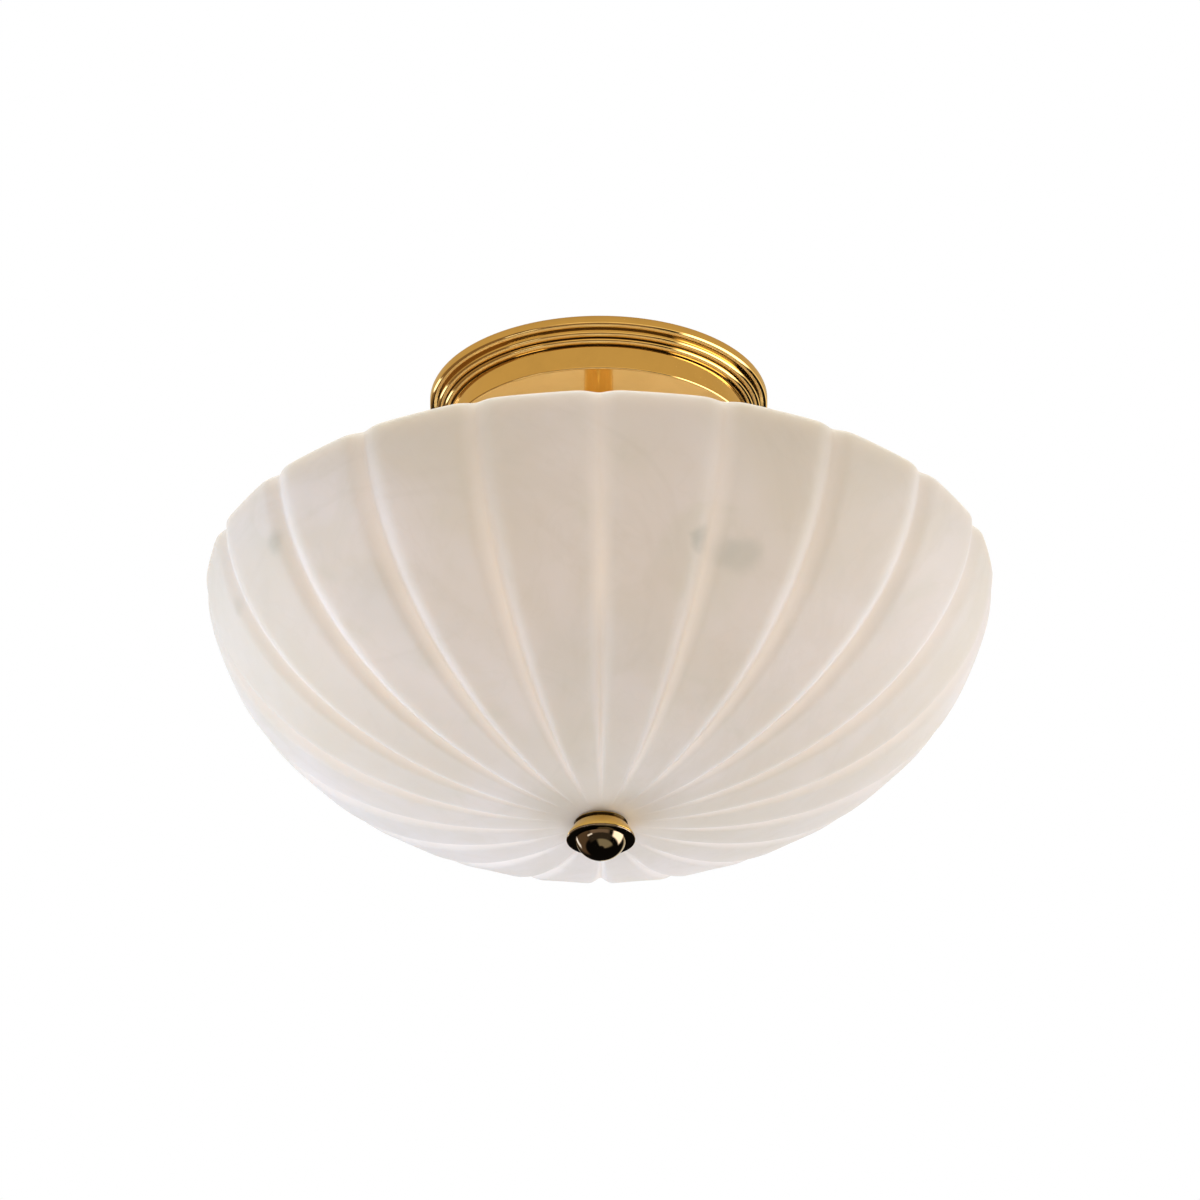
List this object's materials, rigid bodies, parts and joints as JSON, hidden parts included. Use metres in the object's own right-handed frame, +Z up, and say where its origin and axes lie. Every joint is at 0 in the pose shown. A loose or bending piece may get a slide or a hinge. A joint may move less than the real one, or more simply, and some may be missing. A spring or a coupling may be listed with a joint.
{
  "type": "semi-flush ceiling light",
  "caption": "Semi-flush ceiling light: a stepped brass canopy and stem carry lamps inside a lobed stone bowl, held by a finial that unscrews to lower it.",
  "frame": {"origin": "centre of the crossbar's slot pattern, on the ceiling plane", "axes": "+Z up into the ceiling, along the stem; X through the two crossbar slots"},
  "size_m": [0.405, 0.405, 0.2677],
  "materials": {
    "polished_brass": "polished",
    "finial_brass": "polished",
    "finial_dark": "polished, blackened",
    "alabaster": "honed",
    "zinc_steel": "zinc plated",
    "studs": "threaded",
    "contact_brass": "plain",
    "nickel": "nickel",
    "earth_screw": "green dyed",
    "porcelain": "glazed",
    "frosted_glass": "frosted white",
    "tip_glass": "black insulator",
    "gasket": "plain"
  },
  "bodies": {
    "root": {"crossbar": "zinc_steel", "ground_screw": "earth_screw", "canopy_studs": "studs", "stud_nuts": "zinc_steel", "top_nipple": "zinc_steel", "nipple_nuts": "zinc_steel", "stem": "polished_brass", "hub_cap": "polished_brass", "socket_hub": "polished_brass", "hub_nut": "zinc_steel", "socket_arms": "polished_brass", "contacts": "contact_brass", "rod": "zinc_steel", "clamp_nut": "zinc_steel", "lampholder_1": "porcelain", "lampholder_2": "porcelain", "lampholder_3": "porcelain", "screw_shell_1": "nickel", "screw_shell_2": "nickel", "screw_shell_3": "nickel"},
    "canopy": {"canopy": "polished_brass", "stem_ring": "polished_brass"},
    "knob_left": {"knob_left": "polished_brass"},
    "knob_right": {"knob_right": "polished_brass"},
    "bowl": {"bowl": "alabaster", "inner_washer": "zinc_steel", "inner_gasket": "gasket", "outer_gasket": "gasket", "outer_washer": "finial_brass", "finial_cap": "finial_brass"},
    "finial": {"finial_knob": "finial_dark"},
    "bulb_1_slide": {"bulb_tip_1": "tip_glass"},
    "bulb_1": {"bulb_cap_1": "nickel", "bulb_1": "frosted_glass"},
    "bulb_2_slide": {"bulb_tip_2": "tip_glass"},
    "bulb_2": {"bulb_cap_2": "nickel", "bulb_2": "frosted_glass"},
    "bulb_3_slide": {"bulb_tip_3": "tip_glass"},
    "bulb_3": {"bulb_cap_3": "nickel", "bulb_3": "frosted_glass"}
  },
  "joints": [
    {"name": "canopy_drop", "type": "slide", "parent": "root", "child": "canopy", "axis": [0, 0, -1], "range_m": [0, 0.08]},
    {"name": "knob_left_turn", "type": "hinge", "parent": "canopy", "child": "knob_left", "pos_m": [-0.06, 0, -0.034], "axis": [0, 0, -1], "range_deg": [0, 3240]},
    {"name": "knob_right_turn", "type": "hinge", "parent": "canopy", "child": "knob_right", "pos_m": [0.06, 0, -0.034], "axis": [0, 0, -1], "range_deg": [0, 3240]},
    {"name": "bowl_drop", "type": "slide", "parent": "root", "child": "bowl", "axis": [0, 0, -1], "range_m": [0, 0.00846]},
    {"name": "finial_turn", "type": "hinge", "parent": "bowl", "child": "finial", "pos_m": [0, 0, -0.26], "axis": [0, 0, -1], "range_deg": [0, 3240]},
    {"name": "bulb_1_travel", "type": "slide", "parent": "root", "child": "bulb_1_slide", "axis": [0.866, 0.5, 0], "range_m": [0, 0.01814]},
    {"name": "bulb_1_turn", "type": "hinge", "parent": "bulb_1_slide", "child": "bulb_1", "pos_m": [0.06062, 0.035, -0.16], "axis": [0.866, 0.5, 0], "range_deg": [0, 1800]},
    {"name": "bulb_2_travel", "type": "slide", "parent": "root", "child": "bulb_2_slide", "axis": [-0.866, 0.5, 0], "range_m": [0, 0.01814]},
    {"name": "bulb_2_turn", "type": "hinge", "parent": "bulb_2_slide", "child": "bulb_2", "pos_m": [-0.06062, 0.035, -0.16], "axis": [-0.866, 0.5, 0], "range_deg": [0, 1800]},
    {"name": "bulb_3_travel", "type": "slide", "parent": "root", "child": "bulb_3_slide", "axis": [0, -1, 0], "range_m": [0, 0.01814]},
    {"name": "bulb_3_turn", "type": "hinge", "parent": "bulb_3_slide", "child": "bulb_3", "pos_m": [0, -0.07, -0.16], "axis": [0, -1, 0], "range_deg": [0, 1800]}
  ],
  "couplings": [
    {"joint": "finial_turn", "follows": "bowl_drop", "rad_per_m": 6679},
    {"joint": "bulb_1_turn", "follows": "bulb_1_travel", "rad_per_m": 1731.4},
    {"joint": "bulb_2_turn", "follows": "bulb_2_travel", "rad_per_m": 1731.4},
    {"joint": "bulb_3_turn", "follows": "bulb_3_travel", "rad_per_m": 1731.4}
  ]
}
